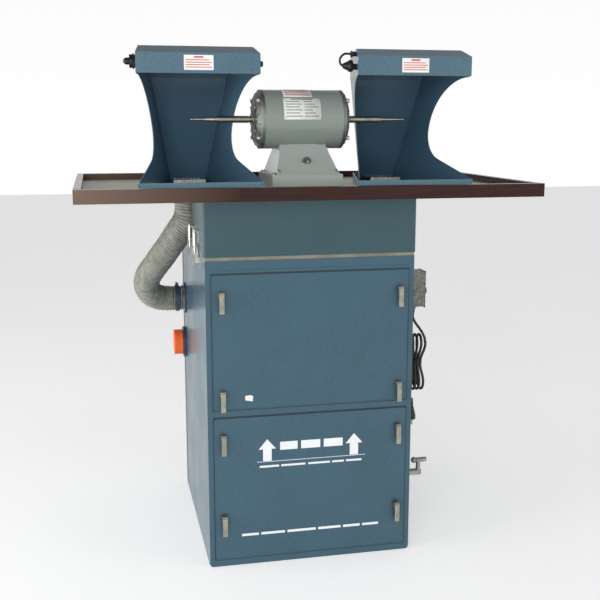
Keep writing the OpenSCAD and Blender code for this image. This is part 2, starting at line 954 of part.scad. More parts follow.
module cord_hank() {
    color([0.06, 0.06, 0.06])
        translate([288.5, 0, 0])
            rotate([90, 0, 90])
                linear_extrude(57)
                    round_plan(-237, -181, 452, 620, 20);
}

module cord_plug() {
    color([0.06, 0.06, 0.06])
        union() {
            translate([311, box_y, 366])
                cylinder(h = 16, r = 13);
            translate([311, box_y, 382])
                cylinder(h = 24, r1 = 13, r2 = 6);
            translate([311, box_y, 405])
                cylinder(h = 47, r = cord_d / 2);
            for (c = [-6, 6])
                block(308, 314, box_y + c - 0.8, box_y + c + 0.8, 350, 367);
        }
}

cabinet_shell();
front_frame();
upper_door();
lower_door();
seals();
latch(-1, latch_tops[0]);  // latch_1
latch(1, latch_tops[0]);  // latch_2
latch(-1, latch_tops[1]);  // latch_3
latch(1, latch_tops[1]);  // latch_4
latch(-1, latch_tops[2]);  // latch_5
latch(1, latch_tops[2]);  // latch_6
latch(-1, latch_tops[3]);  // latch_7
latch(1, latch_tops[3]);  // latch_8
latch_hardware();
filter_shelf();
filter_bags();
shaker_handle();
bearings();
blower_scroll();
blower_wheel();
blower_motor();
exhaust_grille();
pedestal_shell();
draw_lever(-1, draw_ys[0]);  // draw_lever_1
draw_lever(-1, draw_ys[1]);  // draw_lever_2
draw_lever(1, draw_ys[0]);  // draw_lever_3
draw_lever(1, draw_ys[1]);  // draw_lever_4
draw_bail(-1, draw_ys[0]);  // draw_bail_1
draw_bail(-1, draw_ys[1]);  // draw_bail_2
draw_bail(1, draw_ys[0]);  // draw_bail_3
draw_bail(1, draw_ys[1]);  // draw_bail_4
draw_hardware();
table_panel();
table_rim();
hood_bases();
hood_shell_left();
hood_shell_right();
hood_canopy_left();
hood_canopy_right();
hood_screens();
lamps();
lamp_glands();
motor_shell();
end_bells();
stator();
rotor();
spindle_left();
spindle_right();
motor_base();
motor_switch();
hose_left();
hose_right();
duct_ports();
orange_cap();
junction_box();
box_switch();
power_cord();
cord_hank();
cord_plug();
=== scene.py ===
import math

import bmesh
import bpy
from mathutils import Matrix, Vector


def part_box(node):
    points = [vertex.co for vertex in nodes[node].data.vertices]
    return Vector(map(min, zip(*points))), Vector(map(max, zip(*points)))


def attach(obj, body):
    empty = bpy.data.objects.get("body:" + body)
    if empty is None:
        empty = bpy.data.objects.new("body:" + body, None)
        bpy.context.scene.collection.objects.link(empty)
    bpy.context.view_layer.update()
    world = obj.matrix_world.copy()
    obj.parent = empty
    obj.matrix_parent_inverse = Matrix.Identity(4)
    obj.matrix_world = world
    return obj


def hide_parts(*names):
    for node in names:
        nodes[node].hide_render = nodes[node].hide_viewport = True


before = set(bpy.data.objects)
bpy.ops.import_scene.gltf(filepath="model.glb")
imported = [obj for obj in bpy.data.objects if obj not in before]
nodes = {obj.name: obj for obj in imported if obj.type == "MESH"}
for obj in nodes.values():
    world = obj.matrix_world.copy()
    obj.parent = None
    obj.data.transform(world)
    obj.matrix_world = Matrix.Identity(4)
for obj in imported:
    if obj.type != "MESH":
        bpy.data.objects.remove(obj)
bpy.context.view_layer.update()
MM = 0.001

# places that several pieces share, in mm; left and right are mirrored about X = 0
CABINET_SIDE_X = 286
HOOD_X = 288
MOTOR_Y, MOTOR_Z = -121, 1217
BELL_X = 127
SHELL_RADIUS = 79.4
GLAND_X, GLAND_Y = 308, -209
LAMP_Y = -194
PORT_Y, PORT_Z = 309, 652
COLLAR_X, COLLAR_Y = 292, 59
SWITCH_X, SWITCH_Z = 2, 1106
SIDES = ((-1, "left"), (1, "right"))

# heads of screws, rivets and pins: (height, radius) pairs in mm
HEADS = {
    "pan": [(0, 4.2), (1.2, 4.2), (2.2, 3.0), (2.4, 0)],
    "fascia": [(0, 3.4), (0.9, 3.2), (1.5, 2.2), (1.6, 0)],
    "plate": [(0, 1.8), (0.6, 1.6), (1.0, 0)],
    "bell": [(0, 5.5), (2.0, 5.2), (3.4, 3.8), (3.6, 0)],
    "rack": [(0, 4), (1, 4), (1.8, 2.8), (2, 0)],
    "seam": [(0, 3), (0.8, 3), (1.3, 2), (1.4, 0)],
    "back": [(0, 3.4), (0.9, 3.4), (1.5, 2.2), (1.6, 0)],
    "grille": [(0, 2.4), (0.4, 2.2), (0.6, 0)],
    "box": [(0, 3.2), (0.8, 3.2), (1.8, 2.0), (2.0, 0)],
    "batten": [(0, 4), (0.8, 4), (1.4, 2.6), (1.5, 0)],
}


# ---------- camera ----------

def make_camera():
    """The camera at the photograph's viewing angle."""
    data = bpy.data.cameras.new("camera")
    data.lens = 56.36
    data.sensor_width = 36
    down, right = 10.69, 12.21
    camera = bpy.data.objects.new("camera", data)
    bpy.context.scene.collection.objects.link(camera)
    camera.location = (-0.5546, -2.6913, 1.2080)
    camera.rotation_euler = (math.radians(90 - down), 0, math.radians(-right))
    bpy.context.scene.camera = camera


# ---------- mesh helpers ----------

def add_mesh(name, bm, body="stand", smooth=30):
    """A mesh object from bmesh bm, riding on body."""
    mesh = bpy.data.meshes.new(name)
    bmesh.ops.recalc_face_normals(bm, faces=bm.faces)
    bm.to_mesh(mesh)
    bm.free()
    piece = bpy.data.objects.new(name, mesh)
    bpy.context.scene.collection.objects.link(piece)
    shade(piece, smooth)
    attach(piece, body)
    return piece


def shade(piece, angle):
    """Smooth shading with sharp edges above angle degrees."""
    mesh = piece.data
    for face in mesh.polygons:
        face.use_smooth = True
    mesh.set_sharp_from_angle(angle=math.radians(angle))


def bevel(piece, width):
    """Rounds the sharp edges by width mm, as bent or cast metal has them."""
    rounding = piece.modifiers.new("rounding", "BEVEL")
    rounding.width = width * MM
    rounding.segments = 2
    rounding.limit_method = "ANGLE"
    rounding.angle_limit = math.radians(35)


def block(bm, low, high):
    """Adds a box with corners low and high, in mm."""
    low, high = Vector(low) * MM, Vector(high) * MM
    made = bmesh.ops.create_cube(bm, size=1)["verts"]
    for v in made:
        v.co = Vector((low[i] + (v.co[i] + 0.5) * (high[i] - low[i]) for i in range(3)))


def turned(bm, profile, centre, axis, sides):
    """Adds a solid turned about axis: profile is (distance along the axis, radius) pairs in mm."""
    turn = Vector((0, 0, 1)).rotation_difference(Vector(axis)).to_matrix()
    base = Vector(centre) * MM
    rings = []
    for along, radius in profile:
        if radius < 1e-6:
            rings.append([bm.verts.new(base + turn @ Vector((0, 0, along * MM)))])
            continue
        rings.append([
            bm.verts.new(base + turn @ Vector((
                radius * MM * math.cos(2 * math.pi * k / sides),
                radius * MM * math.sin(2 * math.pi * k / sides),
                along * MM,
            )))
            for k in range(sides)
        ])
    for a, b in zip(rings, rings[1:]):
        for k in range(sides):
            j = (k + 1) % sides
            loop = [a[k % len(a)], a[j % len(a)], b[j % len(b)], b[k % len(b)]]
            loop = list(dict.fromkeys(loop))
            if len(loop) > 2:
                bm.faces.new(loop)
    for end in (rings[0], rings[-1]):
        if len(end) > 2:
            bm.faces.new(end)


def prism(bm, outline, low, high, place):
    """Adds an extruded outline: place turns (u, v, w) in mm into a point."""
    a = [bm.verts.new(place(u, v, low) * MM) for u, v in outline]
    b = [bm.verts.new(place(u, v, high) * MM) for u, v in outline]
    bm.faces.new(a)
    bm.faces.new(b[::-1])
    for k in range(len(outline)):
        j = (k + 1) % len(outline)
        bm.faces.new([a[k], a[j], b[j], b[k]])


def head(bm, kind, centre, axis, sides):
    """Adds a screw, rivet or pin head."""
    turned(bm, HEADS[kind], centre, axis, sides)


def hexagon(bm, centre, axis, across, height):
    """Adds a chamfered hexagon nut or bolt head."""
    r = across / math.sqrt(3)
    turned(bm, [(0, r), (height * 0.85, r), (height, r * 0.86)], centre, axis, sides=6)


def smooth_route(points, steps):
    """Points of a smooth curve through the given ones."""
    p = [Vector(q) for q in points]
    line = []
    for i in range(len(p) - 1):
        a, b, c, d = p[max(i - 1, 0)], p[i], p[i + 1], p[min(i + 2, len(p) - 1)]
        for s in range(steps):
            t = s / steps
            line.append(0.5 * (
                2 * b + (c - a) * t + (2 * a - 5 * b + 4 * c - d) * t * t
                + (3 * b - a - 3 * c + d) * t ** 3
            ))
    line.append(p[-1])
    return line


def skin(bm, rings):
    """Joins each ring of points to the next with faces."""
    for a, b in zip(rings, rings[1:]):
        for k in range(len(a)):
            j = (k + 1) % len(a)
            bm.faces.new([a[k], a[j], b[j], b[k]])


def sweep(bm, line, radius_at, sides, ref):
    """Adds an open tube along line, in mm; radius_at(i, k) is its radius at point i, side k."""
    u = Vector(ref)
    rings = []
    for i, point in enumerate(line):
        along = (line[min(i + 1, len(line) - 1)] - line[max(i - 1, 0)]).normalized()
        u = (u - along * u.dot(along)).normalized()
        v = along.cross(u)
        rings.append([
            bm.verts.new((point + radius_at(i, k) * (
                u * math.cos(2 * math.pi * k / sides) + v * math.sin(2 * math.pi * k / sides)
            )) * MM)
            for k in range(sides)
        ])
    skin(bm, rings)
    return rings


def path_lengths(line):
    """Distance along line to each of its points."""
    total = [0.0]
    for a, b in zip(line, line[1:]):
        total.append(total[-1] + (b - a).length)
    return total


def at_distance(line, lengths, distance):
    """The point at a distance along line."""
    for i in range(len(line) - 1):
        if lengths[i + 1] >= distance:
            span = lengths[i + 1] - lengths[i]
            t = (distance - lengths[i]) / span if span else 0
            return line[i].lerp(line[i + 1], t)
    return line[-1].copy()


# ---------- material helpers ----------

def new_material(name):
    """An empty node material; returns it, its tree and its shader."""
    material = bpy.data.materials.new(name)
    material.use_nodes = True
    tree = material.node_tree
    return material, tree, tree.nodes["Principled BSDF"]


def coords(tree, scale=(1, 1, 1)):
    """Object coordinates, scaled."""
    place = tree.nodes.new("ShaderNodeTexCoord")
    mapping = tree.nodes.new("ShaderNodeMapping")
    mapping.inputs["Scale"].default_value = scale
    tree.links.new(place.outputs["Object"], mapping.inputs["Vector"])
    return mapping.outputs["Vector"]


def noise(tree, vector, scale, detail, rough=0.5):
    """A noise texture's value."""
    node = tree.nodes.new("ShaderNodeTexNoise")
    node.inputs["Scale"].default_value = scale
    node.inputs["Detail"].default_value = detail
    node.inputs["Roughness"].default_value = rough
    tree.links.new(vector, node.inputs["Vector"])
    return node.outputs["Fac"]


def cells(tree, vector, scale):
    """A Voronoi texture node."""
    node = tree.nodes.new("ShaderNodeTexVoronoi")
    node.inputs["Scale"].default_value = scale
    tree.links.new(vector, node.inputs["Vector"])
    return node


def ramp(tree, value, stops):
    """Colours or greys by value."""
    node = tree.nodes.new("ShaderNodeValToRGB")
    while len(node.color_ramp.elements) < len(stops):
        node.color_ramp.elements.new(0.5)
    for element, (position, colour) in zip(node.color_ramp.elements, stops):
        element.position = position
        element.color = (*colour, 1)
    tree.links.new(value, node.inputs["Fac"])
    return node.outputs["Color"]


def bump(tree, shader, height, strength, distance):
    """Adds height to the shader's normal."""
    node = tree.nodes.new("ShaderNodeBump")
    node.inputs["Strength"].default_value = strength
    node.inputs["Distance"].default_value = distance
    tree.links.new(height, node.inputs["Height"])
    tree.links.new(node.outputs["Normal"], shader.inputs["Normal"])


def linear(r, g, b):
    """Colour from 0-255 screen values."""
    def one(c):
        c /= 255
        return c / 12.92 if c <= 0.04045 else ((c + 0.055) / 1.055) ** 2.4
    return (one(r), one(g), one(b))


def tinted(colour, factor):
    """A lighter or darker version of a colour."""
    return tuple(min(1, c * factor) for c in colour)


# ---------- materials ----------

def enamel(name, colour, rough=0.34, contrast=0.16, grain=260, coat=0.25):
    """Hammertone enamel: fine pebbled skin with slight colour mottling."""
    material, tree, shader = new_material(name)
    vector = coords(tree)
    fine = noise(tree, vector, grain, 4, 0.6)
    broad = noise(tree, vector, 6, 3)
    mix = tree.nodes.new("ShaderNodeMath")
    mix.operation = "MULTIPLY_ADD"
    mix.inputs[1].default_value = 0.35
    tree.links.new(broad, mix.inputs[0])
    tree.links.new(fine, mix.inputs[2])
    tree.links.new(
        ramp(tree, mix.outputs[0], [
            (0.42, tinted(colour, 1 - contrast)),
            (0.9, tinted(colour, 1 + contrast)),
        ]),
        shader.inputs["Base Color"],
    )
    tree.links.new(
        ramp(tree, broad, [(0.3, (rough * 0.85,) * 3), (0.7, (rough * 1.2,) * 3)]),
        shader.inputs["Roughness"],
    )
    bump(tree, shader, cells(tree, vector, grain * 1.1).outputs["Distance"], 0.22, 0.0006)
    shader.inputs["Coat Weight"].default_value = coat
    shader.inputs["Coat Roughness"].default_value = 0.14
    shader.inputs["Specular IOR Level"].default_value = 0.32
    return material


def metal(name, colour, rough, scratch=(900, 30, 30)):
    """Brushed or plated metal with fine lines and faint staining."""
    material, tree, shader = new_material(name)
    lines = noise(tree, coords(tree, scratch), 1.0, 4, 0.6)
    stain = noise(tree, coords(tree), 45, 4, 0.6)
    tree.links.new(
        ramp(tree, stain, [(0.35, tinted(colour, 0.78)), (0.65, tinted(colour, 1.12))]),
        shader.inputs["Base Color"],
    )
    tree.links.new(
        ramp(tree, lines, [(0.3, (rough * 0.8,) * 3), (0.7, (rough * 1.35,) * 3)]),
        shader.inputs["Roughness"],
    )
    bump(tree, shader, lines, 0.3, 0.00008)
    shader.inputs["Metallic"].default_value = 0.95
    return material


def cast(name, colour, rough, metallic):
    """Rough casting, grey with pits."""
    material, tree, shader = new_material(name)
    vector = coords(tree)
    pits = noise(tree, vector, 320, 6, 0.7)
    patches = noise(tree, vector, 28, 3)
    tree.links.new(
        ramp(tree, patches, [(0.35, tinted(colour, 0.72)), (0.65, tinted(colour, 1.15))]),
        shader.inputs["Base Color"],
    )
    bump(tree, shader, pits, 0.6, 0.0005)
    shader.inputs["Roughness"].default_value = rough
    shader.inputs["Metallic"].default_value = metallic
    return material


def plastic(name, colour, rough, grain=600, spread=0.12):
    """Moulded plastic or elastomer with a fine grain."""
    material, tree, shader = new_material(name)
    vector = coords(tree)
    fine = noise(tree, vector, grain, 3, 0.6)
    broad = noise(tree, vector, 20, 3)
    tree.links.new(
        ramp(tree, broad, [(0.3, tinted(colour, 1 - spread)), (0.7, tinted(colour, 1 + spread))]),
        shader.inputs["Base Color"],
    )
    bump(tree, shader, fine, 0.25, 0.0002)
    shader.inputs["Roughness"].default_value = rough
    return material


def spangled(name, colour):
    """Hot-dip galvanised sheet: angular crystals of different greys."""
    material, tree, shader = new_material(name)
    crystal = cells(tree, coords(tree, (1, 1, 0.7)), 240)
    grey = tree.nodes.new("ShaderNodeSeparateColor")
    tree.links.new(crystal.outputs["Color"], grey.inputs["Color"])
    tree.links.new(
        ramp(tree, grey.outputs[0], [(0.1, tinted(colour, 0.7)), (0.9, tinted(colour, 1.25))]),
        shader.inputs["Base Color"],
    )
    tree.links.new(
        ramp(tree, grey.outputs[1], [(0.0, (0.28,) * 3), (1.0, (0.55,) * 3)]),
        shader.inputs["Roughness"],
    )
    shader.inputs["Metallic"].default_value = 0.8
    return material


def laminate(name, colour):
    """Speckled laminate."""
    material, tree, shader = new_material(name)
    vector = coords(tree)
    speck = noise(tree, vector, 240, 5, 0.75)
    tree.links.new(
        ramp(tree, speck, [
            (0.35, tinted(colour, 0.78)), (0.5, colour), (0.68, tinted(colour, 1.2)),
        ]),
        shader.inputs["Base Color"],
    )
    bump(tree, shader, noise(tree, vector, 500, 2), 0.12, 0.0002)
    shader.inputs["Roughness"].default_value = 0.42
    return material


def stained_rim(name, colour):
    """Dark brown gloss rim with faint lengthwise streaks, and a painted reflection that turns it
    paler towards its left end.
    """
    material, tree, shader = new_material(name)
    streaks = noise(tree, coords(tree, (6, 60, 160)), 1.0, 5, 0.6)
    wood = ramp(tree, streaks, [(0.3, tinted(colour, 0.65)), (0.7, tinted(colour, 1.5))])
    # Painted reflection: towards the left end the colour is blended to a pale brown that stands in
    # for a light's reflection.
    place = tree.nodes.new("ShaderNodeSeparateXYZ")
    tree.links.new(coords(tree), place.inputs["Vector"])
    reflection_reach = tree.nodes.new("ShaderNodeMapRange")
    reflection_reach.inputs["From Min"].default_value = -0.62
    reflection_reach.inputs["From Max"].default_value = -0.2
    tree.links.new(place.outputs["X"], reflection_reach.inputs["Value"])
    painted_reflection = tree.nodes.new("ShaderNodeMix")
    painted_reflection.data_type = "RGBA"
    painted_reflection.inputs["A"].default_value = (*linear(112, 92, 80), 1)
    tree.links.new(
        ramp(tree, reflection_reach.outputs["Result"], [(0.0, (0,) * 3), (1.0, (1,) * 3)]),
        painted_reflection.inputs["Factor"],
    )
    tree.links.new(wood, painted_reflection.inputs["B"])
    tree.links.new(painted_reflection.outputs["Result"], shader.inputs["Base Color"])
    tree.links.new(
        ramp(tree, noise(tree, coords(tree), 12, 3), [(0.3, (0.2,) * 3), (0.7, (0.32,) * 3)]),
        shader.inputs["Roughness"],
    )
    bump(tree, shader, streaks, 0.12, 0.0003)
    shader.inputs["Coat Weight"].default_value = 0.12
    shader.inputs["Coat Roughness"].default_value = 0.12
    shader.inputs["Specular IOR Level"].default_value = 0.22
    return material


def cloth(name, colour):
    """Woven filter cloth."""
    material, tree, shader = new_material(name)
    waves = []
    for direction in ("Z", "X"):
        node = tree.nodes.new("ShaderNodeTexWave")
        node.bands_direction = direction
        node.inputs["Scale"].default_value = 220
        node.inputs["Distortion"].default_value = 0.6
        tree.links.new(coords(tree), node.inputs["Vector"])
        waves.append(node.outputs["Fac"])
    weave = tree.nodes.new("ShaderNodeMath")
    weave.operation = "MULTIPLY"
    tree.links.new(waves[0], weave.inputs[0])
    tree.links.new(waves[1], weave.inputs[1])
    dust = noise(tree, coords(tree, (1, 1, 0.4)), 14, 5, 0.65)
    tree.links.new(
        ramp(tree, dust, [(0.3, tinted(colour, 0.55)), (0.65, colour)]),
        shader.inputs["Base Color"],
    )
    bump(tree, shader, weave.outputs[0], 0.5, 0.0006)
    shader.inputs["Roughness"].default_value = 0.9
    shader.inputs["Sheen Weight"].default_value = 0.3
    return material


def winding(name, colour):
    """Lacquered copper wire wound side by side."""
    material, tree, shader = new_material(name)
    node = tree.nodes.new("ShaderNodeTexWave")
    node.inputs["Scale"].default_value = 160
    node.inputs["Distortion"].default_value = 1.5
    tree.links.new(coords(tree), node.inputs["Vector"])
    tree.links.new(
        ramp(tree, node.outputs["Fac"], [(0.2, tinted(colour, 0.5)), (0.8, tinted(colour, 1.2))]),
        shader.inputs["Base Color"],
    )
    bump(tree, shader, node.outputs["Fac"], 0.6, 0.0008)
    shader.inputs["Metallic"].default_value = 0.6
    shader.inputs["Roughness"].default_value = 0.35
    return material


def duct_skin(name, colour):
    """Dusty ribbed duct hose, mottled paler and darker at random."""
    material, tree, shader = new_material(name)
    vector = coords(tree)
    folds = noise(tree, vector, 60, 5, 0.65)
    tree.links.new(
        ramp(tree, folds, [(0.3, tinted(colour, 0.62)), (0.7, tinted(colour, 1.35))]),
        shader.inputs["Base Color"],
    )
    bump(tree, shader, noise(tree, vector, 180, 4), 0.5, 0.0012)
    shader.inputs["Roughness"].default_value = 0.55
    shader.inputs["Sheen Weight"].default_value = 0.15
    return material


def make_materials():
    """All materials, by name."""
    return {
        "cabinet": enamel("cabinet_enamel", linear(56, 88, 104)),
        # The cabinet's blue made darker for the pedestal; part of that darkening is painted shade
        # from the table above.
        "pedestal": enamel("pedestal_enamel", linear(50, 78, 86)),
        "canopy": enamel("canopy_enamel", linear(74, 104, 120), contrast=0.24, grain=200),
        # Painted light: the hood's blue made much lighter for the pans, standing in for light on
        # their front lips.
        "pan": enamel("pan_enamel", linear(104, 138, 156)),
        "hood": enamel("hood_enamel", linear(68, 97, 117), rough=0.38),
        "port": enamel("port_enamel", linear(52, 66, 84)),
        "dark": enamel("dark_enamel", linear(60, 64, 68)),
        "motor": enamel(
            "motor_enamel", linear(134, 144, 139), contrast=0.06, grain=420, coat=0.4,
        ),
        # Painted light: the motor's grey-green enamel made lighter for the base, standing in for
        # light from above on its sloping front.
        "base": enamel(
            "base_enamel", linear(166, 175, 169), contrast=0.05, grain=300, coat=0.5,
        ),
        "gasket": plastic("gasket_foam", linear(132, 128, 114), 0.85, 300, 0.2),
        "nickel": metal("latch_nickel", linear(168, 166, 152), 0.34),
        "bushing": metal("bushing_steel", linear(96, 104, 108), 0.5),
        "steel": metal("inner_steel", linear(165, 168, 172), 0.4, (60, 60, 400)),
        "zinc": metal("bright_zinc", linear(206, 206, 200), 0.28),
        "spindle": metal("ground_steel", linear(172, 168, 156), 0.22, (60, 900, 900)),
        "shaker": cast("dull_aluminium", linear(168, 166, 158), 0.42, 0.7),
        "bell": cast("bell_casting", linear(138, 142, 136), 0.5, 0.9),
        "glass": plastic("lamp_opal", linear(240, 240, 232), 0.15, 200, 0.03),
        "black": plastic("black_moulding", linear(22, 22, 23), 0.35),
        # Dark blue-grey that paints the shadow in the gaps round the doors.
        "gap_shadow": plastic("painted_gap_shadow", linear(30, 42, 50), 0.6, 400, 0.1),
        "jacket": plastic("cord_jacket", linear(20, 20, 21), 0.42, 900),
        "orange": plastic("orange_moulding", linear(246, 104, 42), 0.5, 500, 0.1),
        "spangle": spangled("galvanised_sheet", linear(118, 118, 110)),
        "laminate": laminate("tray_laminate", linear(172, 168, 148)),
        "rim": stained_rim("brown_rim", linear(48, 22, 16)),
        "cloth": cloth("filter_cloth", linear(214, 208, 190)),
        "winding": winding("copper_winding", linear(188, 104, 58)),
        "duct": duct_skin("duct_skin", linear(134, 136, 126)),
        "paint": plastic("white_ink", linear(232, 236, 238), 0.5, 800, 0.04),
        "label": plastic("label_stock", linear(236, 232, 228), 0.4, 700, 0.05),
        "red_ink": plastic("red_ink", linear(196, 78, 70), 0.5, 700, 0.08),
        "grey_ink": plastic("grey_ink", linear(120, 122, 124), 0.5, 700, 0.08),
        "plate": plastic("name_plate", linear(222, 226, 220), 0.4, 600, 0.07),
    }


# CAD nodes by material
LOOKS = {
    "cabinet": ["cabinet_shell", "front_frame", "upper_door", "lower_door"],
    "pedestal": ["pedestal_shell"],
    "gasket": ["seals"],
    "nickel": ["latch_%d" % k for k in range(1, 9)],
    "bushing": ["latch_hardware"],
    "steel": ["filter_shelf", "blower_wheel"],
    "cloth": ["filter_bags"],
    "shaker": ["shaker_handle", "bearings"],
    "dark": ["blower_scroll", "blower_motor", "exhaust_grille"],
    "zinc": [
        *("draw_lever_%d" % k for k in range(1, 5)),
        *("draw_bail_%d" % k for k in range(1, 5)),
        "draw_hardware", "hood_screens", "motor_switch",
    ],
    "laminate": ["table_panel"],
    "rim": ["table_rim"],
    "hood": ["hood_shell_left", "hood_shell_right"],
    "canopy": ["hood_canopy_left", "hood_canopy_right"],
    "pan": ["hood_bases"],
    "glass": ["lamps"],
    "black": ["lamp_glands", "cord_plug", "box_switch"],
    "motor": ["motor_shell"],
    "base": ["motor_base"],
    "bell": ["end_bells"],
    "winding": ["stator"],
    "spindle": ["rotor", "spindle_left", "spindle_right"],
    "duct": ["hose_left", "hose_right"],
    "port": ["duct_ports"],
    "orange": ["orange_cap"],
    "spangle": ["junction_box"],
    "jacket": ["power_cord", "cord_hank"],
}

# width of the edge rounding by CAD node, in mm
ROUNDED = {
    "cabinet_shell": 1.2, "front_frame": 1.2, "upper_door": 1.4, "lower_door": 1.4,
    "pedestal_shell": 1.2, "table_rim": 1.2, "table_panel": 0.6, "hood_bases": 0.8,
    "hood_canopy_left": 0.9, "hood_canopy_right": 0.9, "motor_shell": 1.0, "end_bells": 1.5,
    "motor_base": 1.2, "orange_cap": 1.5, "junction_box": 0.6, "shaker_handle": 1.2,
    "duct_ports": 0.6, "exhaust_grille": 0.5, "draw_hardware": 0.3, "seals": 1.0,
    "blower_scroll": 0.8, "blower_motor": 2.0, "box_switch": 0.8, "hood_screens": 0.3,
}


def paint(piece, material):
    """Gives a piece one material."""
    piece.data.materials.clear()
    piece.data.materials.append(material)
    return piece


def dress_nodes(m):
    """Materials and small edge rounding for the CAD nodes that stay."""
    for look, names in LOOKS.items():
        for name in names:
            paint(nodes[name], m[look])
            shade(nodes[name], 32)
    for name, width in ROUNDED.items():
        bevel(nodes[name], width)
    for k in range(1, 9):
        bevel(nodes["latch_%d" % k], 0.6)


# ---------- cord ----------

def hank_route():
    """The power cord's centreline: out of the gland, four turns and a leg, then the plug."""
    points = [Vector(p) for p in (
        (308, -209, 690), (308, -209, 683), (308, -209, 676), (310, -210, 664),
        (316, -213, 651), (325, -218, 638), (333, -224, 625), (339, -230, 610),
    )]
    top, bottom, radius, waist = 592.5, 479.0, 23.0, 13.0
    middle, centre, tied, open_pitch = -209.0, 317.0, 7.6, 12.0
    steps = 14

    def across(turn, pinch):
        """X of a turn: 0 is the outermost, and the turns close up where pinch is 1."""
        return centre + (2 - turn) * (tied + (open_pitch - tied) * (1 - pinch))

    def leg(side, down, start):
        """A straight run between the hank's ends, pinched in at the tie."""
        for k in range(steps + 1):
            s = k / steps
            z = top + (bottom - top) * s if down else bottom + (top - bottom) * s
            pinch = (1 - math.cos(2 * math.pi * s)) / 2
            y = middle + side * (radius - waist * pinch)
            yield Vector((across(start + 0.32 * s, pinch), y, z))

    def arc(low, start):
        """The half turn at one end of the hank."""
        for k in range(1, steps):
            a = math.pi * k / steps
            y = middle + (-1 if low else 1) * radius * math.cos(a)
            z = (bottom - radius * math.sin(a)) if low else (top + radius * math.sin(a))
            yield Vector((across(start + 0.18 * k / steps, 0), y, z))

    for turn in range(4):
        points += list(leg(-1, True, turn))
        points += list(arc(True, turn + 0.32))
        points += list(leg(1, False, turn + 0.5))
        points += list(arc(False, turn + 0.82))
    points += list(leg(-1, True, 4))
    points += [Vector(p) for p in (
        (290.5, -231, 468), (293, -228, 455), (299, -222, 442), (306, -215, 430),
        (310, -210, 418), (311, -209, 408), (311, -209, 400),
    )]
    return points


def cord_length(points):
    """Length of the cord in metres."""
    return path_lengths(points)[-1] * MM


def make_cord(m):
    """Power cord wound in a tied hank beside the cabinet, with its plug."""
    points = hank_route()
    bm = bmesh.new()
    radius = 3.75
    rings = sweep(bm, points, lambda i, k: radius, 16, (0.31, 0.12, 0.94))
    bm.faces.new(rings[0])
    bm.faces.new(rings[-1])
    lead = paint(add_mesh("power_lead", bm, smooth=50), m["jacket"])
    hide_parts("power_cord", "cord_hank")

    bm = bmesh.new()
    turned(
        bm, [(-10, 9), (-7, 9.5), (0, 9.5), (4, 8), (16, 6.2), (30, 4.6), (34, 4)],
        (GLAND_X, GLAND_Y, 697), (0, 0, -1), 28,
    )
    relief = paint(add_mesh("cord_relief", bm), m["black"])

    bm = bmesh.new()
    for k in range(3):
        middle_z = 533 + 5 * k
        line = []
        for j in range(33):
            a = 2 * math.pi * j / 32
            x, y = 316 + 21.5 * math.cos(a), GLAND_Y + 16.5 * math.sin(a)
            line.append(Vector((x, y, middle_z + 2 * math.sin(a + k))))
        sweep(bm, line, lambda i, k: 1.8, 8, (0, 0, 1))
    tie = paint(add_mesh("cord_tie", bm), m["black"])

    plug_x = 311
    bm = bmesh.new()
    turned(bm, [
        (0, 11.5), (1, 13), (10, 13), (14, 12.4), (18, 11.5), (22, 10.6), (30, 8.5), (38, 6.4),
        (39, 5.4), (42, 5.4), (43, 6.0), (46, 6.0), (47, 5.0), (50, 5.0), (51, 5.6), (54, 5.4),
        (55, 4.6), (60, 4.4), (62, 4.0),
    ], (plug_x, GLAND_Y, 366), (0, 0, 1), 36)
    grips, grip_radius = 10, 11.9
    for k in range(grips):
        a = 2 * math.pi * k / grips
        x, y = plug_x + grip_radius * math.cos(a), GLAND_Y + grip_radius * math.sin(a)
        block(bm, (x - 1, y - 1, 369), (x + 1, y + 1, 378))
    plug = paint(add_mesh("plug_body", bm), m["black"])
    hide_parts("cord_plug")
    bm = bmesh.new()
    for c in (-6, 6):
        y = GLAND_Y + c
        block(bm, (plug_x - 3, y - 0.8, 350.5), (plug_x + 3, y + 0.8, 367))
    turned(bm, [(0, 2.0), (1, 2.4), (14, 2.4)], (plug_x - 6, GLAND_Y, 353), (0, 0, 1), 16)
    blades = paint(add_mesh("plug_blades", bm), m["nickel"])
    bevel(blades, 0.3)
    round(cord_length(points), 3)
    [p * MM for p in points]


# ---------- hoses ----------

# the left hose's centreline in mm, from its hood down to its port
HOSE_ROUTE = [
    (-292, 59, 1014), (-293, 59, 985), (-297, 62, 935), (-320, 84, 892),
    (-349, 119, 842), (-379, 159, 793), (-404, 209, 748), (-411, 240, 714),
    (-400, 270, 682), (-376, 298, 660), (-340, 309, 652), (-291, 309, 652),
]


def make_hose(side, m):
    """Corrugated duct hose, clamped at both ends."""
    line = smooth_route([(-side * x, y, z) for x, y, z in HOSE_ROUTE], 10)
    lengths = path_lengths(line)
    pitch = 8.0
    per_rib = 6
    sides = 48
    count = int(lengths[-1] / pitch) * per_rib
    even = [at_distance(line, lengths, lengths[-1] * k / count) for k in range(count + 1)]

    def radius(i, k):
        """Radius of the crumpled, spirally ribbed skin, in mm."""
        turn = 2 * math.pi * k / sides
        crumple = 0.55 * math.sin(3 * turn + 0.11 * i) + 0.35 * math.sin(5 * turn - 0.23 * i)
        rib = math.cos(2 * math.pi * i / per_rib + turn + crumple)
        height = 1.75 + 0.35 * math.sin(0.31 * i + 2 * turn)
        return 38.6 + height * rib + 0.3 * math.sin(0.09 * i + 4 * turn)

    bm = bmesh.new()
    sweep(bm, even, radius, sides, (1, side, 0))
    name = "duct_left" if side < 0 else "duct_right"
    duct = paint(add_mesh(name, bm, smooth=80), m["duct"])
    wall = duct.modifiers.new("wall", "SOLIDIFY")
    wall.thickness = 1.0 * MM
    wall.offset = -1
    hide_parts("hose_left" if side < 0 else "hose_right")


# ---------- filter bags ----------

